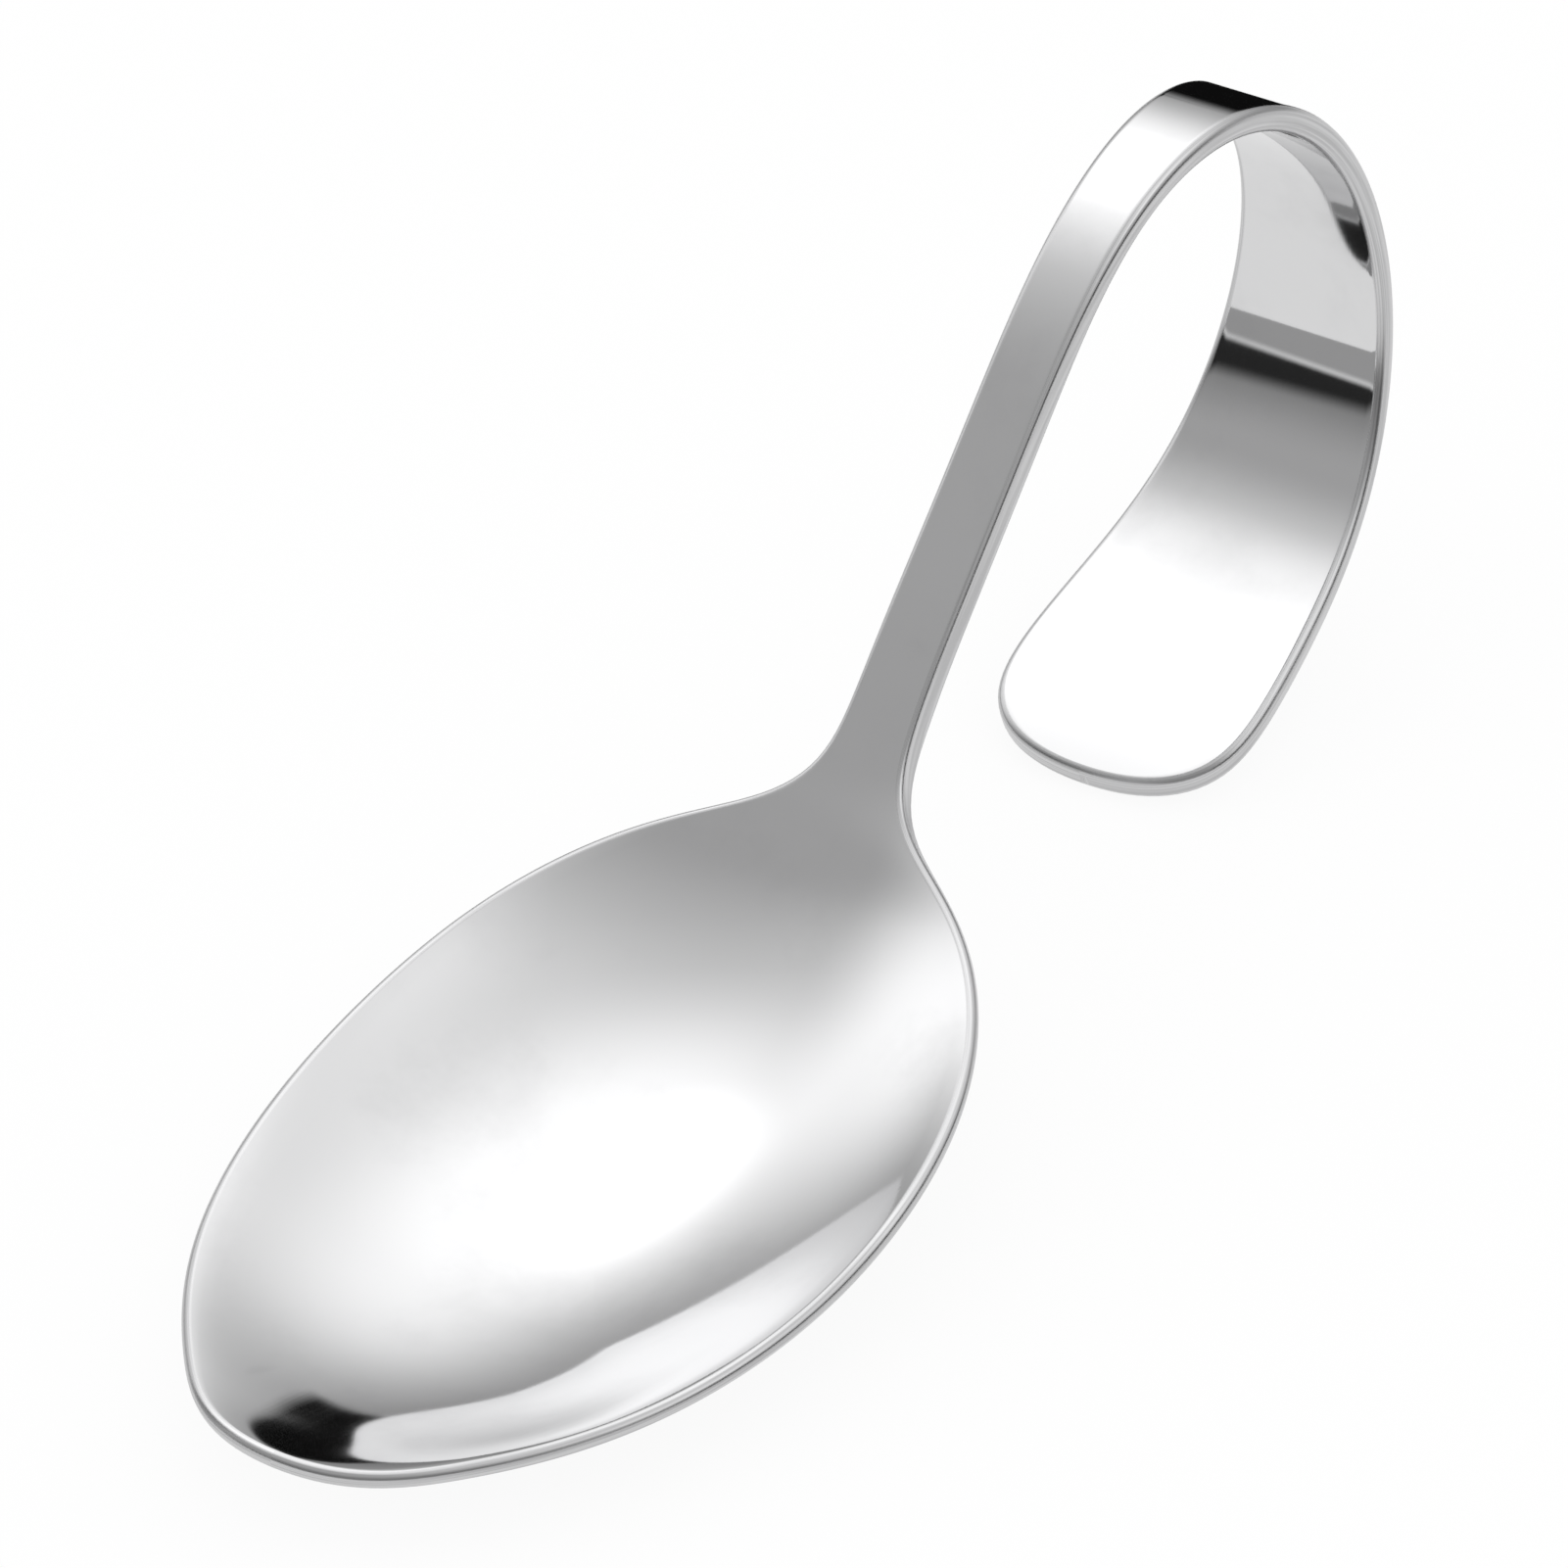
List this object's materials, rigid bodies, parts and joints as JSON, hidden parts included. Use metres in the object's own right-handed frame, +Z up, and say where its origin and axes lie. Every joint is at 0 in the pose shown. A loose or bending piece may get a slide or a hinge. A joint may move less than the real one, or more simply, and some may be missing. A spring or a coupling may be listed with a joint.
{
  "type": "dessert spoon",
  "caption": "Polished steel dessert spoon with an egg-shaped bowl and a slim handle bent over and back under into a wide rounded foot, so that it stands level for serving.",
  "frame": {"origin": "middle of the footprint, on the surface that the spoon stands on", "axes": "+X along the spoon from the bowl's tip to the bend of the handle, +Y across it, +Z up as it stands"},
  "size_m": [0.124, 0.0408, 0.046],
  "materials": {
    "polished_steel": "mirror-polished stainless steel"
  },
  "bodies": {
    "root": {"bowl": "polished_steel", "neck": "polished_steel", "stem": "polished_steel", "crown": "polished_steel", "back": "polished_steel", "foot": "polished_steel"}
  },
  "joints": []
}
